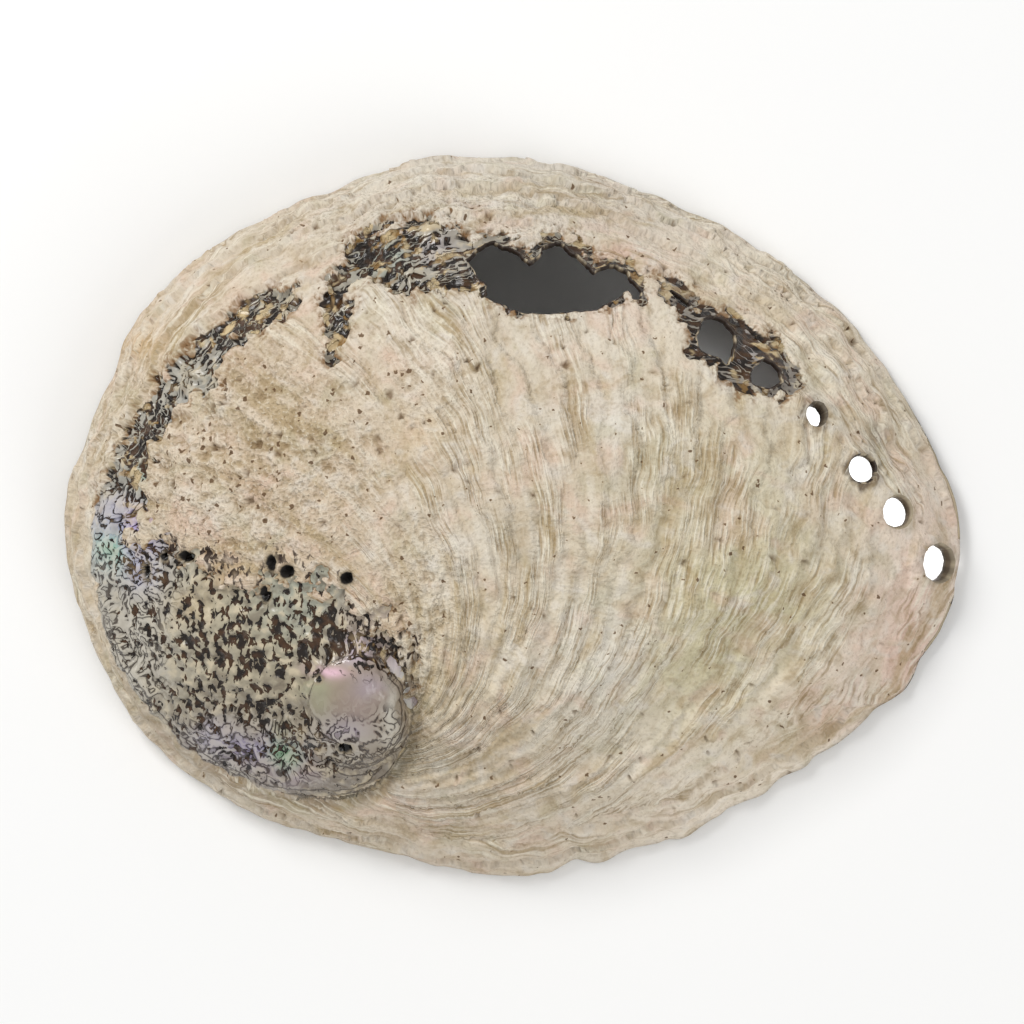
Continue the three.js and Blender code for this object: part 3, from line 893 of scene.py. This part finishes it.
def relief_height(tree, sizes):
    """How far the skin is raised at each point, in metres."""
    worn = worn_off(tree, 0.7)
    chalky = opposite(tree, worn)
    bare = times(tree, worn, opposite(tree, read(tree, "cap")))
    stepped = times(tree, bare, band_of(tree, read(tree, "frayed"), 0.5, 1.3))
    lumps = plus(tree, noise(tree, 7, 3.0), -0.5)
    crumbs = times(tree, plus(tree, read(tree, "crumbs"), -0.5), read(tree, "crumbly"))
    lined = times(tree, band_of(tree, read(tree, "lined"), 0.4, 0.58, 0.2, 1.0), chalky)
    lines = times(tree, plus(tree, growth_lines(tree, LINE_SPACING, 9), -0.5), lined)
    stronger_beside = times(tree, chalky, plus(tree, 1.0, read(tree, "band"), 0.3))
    layers = times(tree, plus(tree, read(tree, "layer"), -0.5), stronger_beside)
    boring = band_of(tree, read(tree, "boring"), -0.6, 0.1, 1.0, 0.0)
    dark = larger(tree, dark_seeds(tree, 0.05), swirls(tree, 0.12))
    pit = times(tree, read(tree, "pit"), chalky)
    raised = [
        (times(tree, lumps, opposite(tree, read(tree, "cap"))), "Lump Height", 1.0),
        (crumbs, "Crumb Height", 1.0),
        (lines, "Line Height", 1.0),
        (layers, "Layer Height", 1.0),
        (pit, "Pit Depth", -1.0),
        (stepped, "Worn Depth", -1.0),
        (times(tree, dark, bare), "Seed Depth", -1.0),
        (boring, "Boring Depth", -1.0),
    ]
    total = 0.0
    for pattern, size, way in raised:
        total = plus(tree, total, times(tree, pattern, sizes[size]), way)
    return times(tree, total, read(tree, "outside"))


def relief_tree(materials):
    """Raises the skin along its normals, then gives each part of it its material."""
    tree = bpy.data.node_groups.new("shell_relief", "GeometryNodeTree")
    tree.interface.new_socket("Skin", in_out="INPUT", socket_type="NodeSocketGeometry")
    for name in RELIEF:
        size = tree.interface.new_socket(name, in_out="INPUT", socket_type="NodeSocketFloat")
        size.subtype = "DISTANCE"
    tree.interface.new_socket("Seed", in_out="INPUT", socket_type="NodeSocketInt")
    tree.interface.new_socket("Skin", in_out="OUTPUT", socket_type="NodeSocketGeometry")
    given = tree.nodes.new("NodeGroupInput").outputs
    skin = store_patterns(tree, given["Skin"], given["Seed"])
    normal = add(tree, "GeometryNodeInputNormal", {})
    offset = {0: normal, "Scale": relief_height(tree, given)}
    offset = add(tree, "ShaderNodeVectorMath", offset, operation="SCALE")
    skin = add(tree, "GeometryNodeSetPosition", {"Geometry": skin, "Offset": offset})
    skin = add(tree, "GeometryNodeRealizeInstances", {"Geometry": skin})
    finish = add(tree, "GeometryNodeInputNamedAttribute", {"Name": "finish"}, data_type="INT")
    for number, material in enumerate(materials):
        wanted = add(tree, "FunctionNodeCompare", {2: finish, 3: number}, data_type="INT", operation="EQUAL")
        inputs = {"Geometry": skin, "Selection": wanted, "Material": material}
        skin = add(tree, "GeometryNodeSetMaterial", inputs)
    tree.links.new(skin, tree.nodes.new("NodeGroupOutput").inputs["Skin"])
    return tree


def raise_relief(shell, materials):
    """Runs the relief on the shell and keeps the result as a plain mesh."""
    tree = relief_tree(materials)
    modifier = shell.modifiers.new("relief", "NODES")
    modifier.node_group = tree
    for item in tree.interface.items_tree:
        if item.in_out == "INPUT" and item.name in RELIEF:
            modifier[item.identifier] = RELIEF[item.name] * MM
        if item.name == "Seed":
            modifier[item.identifier] = SEED
    evaluated = shell.evaluated_get(bpy.context.evaluated_depsgraph_get())
    mesh = bpy.data.meshes.new_from_object(evaluated)
    shell.modifiers.clear()
    shell.vertex_groups.clear()
    shell.data = mesh
    mesh.name = "abalone_shell"
    return shell


# ---- Materials ----


def paint(colour):
    """A hex colour for a node's socket."""
    return (*linear(colour), 1.0)


def lay(tree, under, share, over):
    """The colour over laid on the colour under, where share is 1."""
    return add(tree, "ShaderNodeMix", {0: share, 6: under, 7: over}, 2, data_type="RGBA")


def toned(tree, colour, tones, where=1.0):
    """The colour with tones laid on it: a pattern, where it starts and is full, its most, and the colour."""
    for pattern, start, full, most, tone in tones:
        share = times(tree, where, band_of(tree, pattern, start, full, 0.0, most))
        colour = lay(tree, colour, share, paint(tone))
    return colour


def surfaced(name, build, **constants):
    """A material whose build function gives its colour, roughness and height in millimetres."""
    material = bpy.data.materials.new(name)
    material.use_nodes = True
    tree = material.node_tree
    tree.nodes.clear()
    colour, roughness, height = build(tree)
    normal = add(tree, "ShaderNodeBump", {"Height": height, "Distance": MM, "Strength": 1.0})
    inputs = {"Base Color": colour, "Roughness": roughness, "Normal": normal, **constants}
    shader = add(tree, "ShaderNodeBsdfPrincipled", inputs)
    add(tree, "ShaderNodeOutputMaterial", {"Surface": shader})
    return material


def chalk_layer(tree):
    """Chalky calcite, dull and sandy: pale and tan streaks along the growth, crumbs, and dirty pits."""
    crumbly, crumbs, mottle = read(tree, "crumbly"), read(tree, "crumbs"), read(tree, "mottle")
    flow, tint, worn, frayed = (read(tree, name) for name in ("flow", "tint", "worn", "frayed"))
    lined = band_of(tree, read(tree, "lined"), 0.42, 0.58, 0.12, 1.0)
    lined = times(tree, lined, band_of(tree, crumbly, 0.25, 0.7, 1.0, 0.2))
    sandy = band_of(tree, crumbly, 0.1, 0.8, 0.4, 1.0)
    fine = crisp_lines(tree, 0.9, 6.5, 1.5)
    grain = noise(tree, 0.8, 1.5)
    small = pits(tree, 1.5)
    colour = toned(tree, read(tree, "chalk", "Color"), [
        (tint, 0.5, 0.7, 0.5, "#d6b8a5"), (tint, 0.46, 0.32, 0.4, "#b3ac8c"),
        (flow, 0.48, 0.32, 0.55, "#ab9466"), (flow, 0.54, 0.66, 0.5, "#ddd5c5"),
        (mottle, 0.52, 0.7, 0.55, "#ddd6cb"), (mottle, 0.48, 0.3, 0.55, "#a8926e"),
    ])
    line_tones = [(fine, 0.48, 0.3, 0.6, "#8f7444"), (fine, 0.52, 0.66, 0.6, "#ece5d2")]
    crumb_tones = [(crumbs, 0.51, 0.62, 0.7, "#dccdb8"), (crumbs, 0.48, 0.36, 0.8, "#937a55")]
    grain_tones = [(grain, 0.48, 0.3, 0.5, "#86724f"), (grain, 0.54, 0.7, 0.45, "#e9dfca")]
    colour = toned(tree, colour, line_tones, lined)
    colour = toned(tree, colour, crumb_tones, crumbly)
    colour = toned(tree, colour, grain_tones, sandy)
    colour = toned(tree, colour, [(small, 0.0, 0.3, 0.55, "#98784b")])
    colour = lay(tree, colour, times(tree, read(tree, "pit"), 0.75), paint("#6b5030"))
    colour = toned(tree, colour, [(small, 0.15, 0.95, 0.8, "#553a20")])
    # A brown fringe beside the worn patches, and seeds that show through where a patch is frayed.
    fringe = times(tree, band_of(tree, worn, -2.4, 0.2), band_of(tree, frayed, 0.6, 1.3))
    fringe = times(tree, fringe, band_of(tree, plus(tree, crumbs, grain, 0.5), 0.82, 0.62))
    colour = lay(tree, colour, fringe, paint("#84613a"))
    flecks = times(tree, band_of(tree, worn, -9, -1), band_of(tree, frayed, 2, 5))
    colour = lay(tree, colour, times(tree, flecks, dark_seeds(tree)), paint("#33241a"))
    height = times(tree, times(tree, fine, lined), 0.7)
    return colour, plus(tree, height, times(tree, grain, sandy), 0.9)


def nacre_layer(tree):
    """Nacre, worn and dulled: its own colours by place, with horny seeds and swirls and dark-edged plates."""
    cloud, plated, suture = read(tree, "cloud"), read(tree, "plated"), read(tree, "suture")
    off_cap = opposite(tree, read(tree, "cap"))
    dark = larger(tree, times(tree, dark_seeds(tree), off_cap), swirls(tree))
    rings = times(tree, outlines(tree, "suture", 1.3, 0.13), band_of(tree, suture, 2.6, 4.2, 0.8, 0.0))
    edges = times(tree, outlines(tree, "plate", 0.18, 0.14), band_of(tree, plated, 0.3, 0.6))
    lines = larger(tree, edges, rings)
    crusted = times(tree, read(tree, "swirled"), band_of(tree, read(tree, "crumbs"), 0.52, 0.57, 0.0, 0.9))
    shade = plate_shade(tree, 0.18)
    streaked = times(tree, opposite(tree, plated), off_cap)
    plates = [(shade, 0.4, 0.9, 0.5, "#d3ccbf"), (shade, 0.35, 0.0, 0.35, "#6f6465")]
    streaks = [(cloud, 0.5, 0.64, 0.75, "#d0c2a6"), (cloud, 0.5, 0.34, 0.7, "#75695a")]
    colour = toned(tree, read(tree, "nacre", "Color"), plates, plated)
    colour = toned(tree, colour, streaks, streaked)
    colour = lay(tree, colour, times(tree, lines, 0.85), paint("#33261d"))
    horn = lay(tree, paint("#1d140d"), band_of(tree, cloud, 0.42, 0.6), paint("#4a321d"))
    crust = lay(tree, paint("#96733f"), band_of(tree, cloud, 0.4, 0.55), paint("#cfb98f"))
    colour = lay(tree, colour, dark, horn)
    colour = lay(tree, colour, crusted, crust)
    height = times(tree, cloud, times(tree, streaked, 1.2))
    height = plus(tree, height, times(tree, shade, plated), 0.5)
    height = plus(tree, height, dark, -0.4)
    return colour, plus(tree, height, lines, -0.25)


def weathered_outside(tree):
    """The outside: chalk, worn off to nacre in patches, with polished nacre on the spire's cap."""
    worn, cap, boring = worn_off(tree), read(tree, "cap"), read(tree, "boring")
    capped = band_of(tree, cap, 0.4, 0.6)
    chalk, chalk_height = chalk_layer(tree)
    nacre, nacre_height = nacre_layer(tree)
    colour = lay(tree, chalk, worn, nacre)
    cap_line = times(tree, cap, opposite(tree, cap))
    colour = lay(tree, colour, band_of(tree, cap_line, 0.2, 0.25, 0.0, 0.6), paint("#3a2c24"))
    colour = lay(tree, colour, band_of(tree, boring, 0.1, 0.9, 0.7, 0.0), paint("#a3947a"))
    # Painted shade: the bored holes are filled with near-black.
    colour = lay(tree, colour, band_of(tree, boring, -0.1, 0.25, 1.0, 0.0), paint("#16110d"))
    height = add(tree, "ShaderNodeMix", {0: worn, 2: chalk_height, 3: nacre_height})
    roughness = add(tree, "ShaderNodeMix", {0: worn, 2: 0.8, 3: 0.26})
    return colour, add(tree, "ShaderNodeMix", {0: capped, 2: roughness, 3: 0.2}), height


def broken_edge(tree):
    """The wall's edge: thin chalk over a dark horny layer over nacre, darkest where it broke."""
    depth = read(tree, "depth")
    colour = lay(tree, paint("#b5a68b"), band_of(tree, depth, 0.2, 0.35), paint("#8d7c66"))
    colour = lay(tree, colour, band_of(tree, depth, 0.6, 0.8), paint("#a0968a"))
    ragged = noise(tree, 2.4, 3.0)
    dark = times(tree, band_of(tree, ragged, 0.35, 0.5), read(tree, "near_edge"))
    return lay(tree, colour, dark, paint("#33271e")), 0.55, times(tree, ragged, 0.8)


def mother_of_pearl(tree):
    """The inside: glossy nacre, silver with slow swings to rose and green, laid down in faint ripples."""
    hue, other_hue = noise(tree, 26, 2.0, 1.2), noise(tree, 19, 2.0, 0.8, (1, 1, 2))
    ripples = growth_lines(tree, 5, 40)
    colour = lay(tree, paint("#c9c3ba"), band_of(tree, hue, 0.5, 0.62, 0.0, 0.6), paint("#b4c7bd"))
    colour = lay(tree, colour, band_of(tree, other_hue, 0.5, 0.62, 0.0, 0.6), paint("#ccb4c0"))
    colour = lay(tree, colour, band_of(tree, ripples, 0.5, 0.34, 0.0, 0.3), paint("#a3a1a8"))
    return colour, band_of(tree, ripples, 0.3, 0.7, 0.3, 0.2), times(tree, ripples, 0.25)


def shell_materials():
    return [
        surfaced("chalky_calcite_weathered", weathered_outside, IOR=1.5),
        surfaced("calcite_edge_broken", broken_edge, IOR=1.5),
        surfaced("mother_of_pearl_grown", mother_of_pearl, IOR=1.53),
    ]


# ---- The stage ----

VIEW_WIDTH = 0.2291  # metres seen across at the floor
VIEW_RAISED = 0.0008  # metres that the view's middle is moved up the page
LENS = 300  # millimetres, long, so that the raised crown isn't spread
SENSOR = 36


def make_camera():
    camera = bpy.data.objects.new("camera", bpy.data.cameras.new("camera"))
    camera.data.lens = LENS
    camera.data.sensor_width = SENSOR
    camera.data.clip_end = 20
    middle = (cad_low + cad_high) / 2
    camera.location = (middle.x, middle.y + VIEW_RAISED, VIEW_WIDTH * LENS / SENSOR)
    bpy.context.scene.collection.objects.link(camera)
    bpy.context.scene.camera = camera


def make_light(name, place, size, power):
    """A square soft box that faces the shell."""
    light = bpy.data.objects.new(name, bpy.data.lights.new(name, "AREA"))
    light.data.size = size
    light.data.energy = power
    light.location = place
    light.rotation_euler = (-light.location).to_track_quat("-Z", "Y").to_euler()
    bpy.context.scene.collection.objects.link(light)


def light_under_holes():
    """A dim strip that lights the paper under the row of breathing holes, which then shows white in them."""
    (first_x, first_y), (last_x, last_y) = BREATHING_HOLES[0][0], BREATHING_HOLES[-1][0]
    strip = bpy.data.objects.new("strip_under_holes", bpy.data.lights.new("strip_under_holes", "AREA"))
    strip.data.shape = "RECTANGLE"
    strip.data.size = MM * (np.hypot(last_x - first_x, last_y - first_y) + 6)
    strip.data.size_y = MM * 8
    strip.data.energy = 0.002
    strip.location = (MM * (first_x + last_x) / 2, MM * (first_y + last_y) / 2, MM * 1.5)
    strip.rotation_euler = (0, 0, np.arctan2(last_y - first_y, last_x - first_x))
    bpy.context.scene.collection.objects.link(strip)


def make_stage():
    floor_material = bpy.data.materials.new("paper_matt_white")
    floor_material.use_nodes = True
    shader = floor_material.node_tree.nodes["Principled BSDF"]
    shader.inputs["Base Color"].default_value = paint("#f4f4f3")
    shader.inputs["Roughness"].default_value = 0.9
    half = 3
    corners = [(-half, -half, 0), (half, -half, 0), (half, half, 0), (-half, half, 0)]
    mesh = bpy.data.meshes.new("floor")
    mesh.from_pydata(corners, [], [(0, 1, 2, 3)])
    mesh.materials.append(floor_material)
    floor = bpy.data.objects.new("floor", mesh)
    bpy.context.scene.collection.objects.link(floor)
    world = bpy.data.worlds.new("studio")
    world.use_nodes = True
    world.node_tree.nodes["Background"].inputs["Color"].default_value = (1, 1, 1, 1)
    world.node_tree.nodes["Background"].inputs["Strength"].default_value = 0.52
    bpy.context.scene.world = world
    make_light("key_soft_box", (-0.6, 0.65, 0.95), 0.5, 9.5)
    make_light("fill_soft_box", (0.65, -0.6, 0.9), 0.7, 4)
    bpy.context.scene.view_settings.view_transform = "Standard"


shell = raise_relief(plain_shell(), shell_materials())
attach(shell, "root")
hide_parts(SHELL_NODE)
make_camera()
make_stage()
light_under_holes()
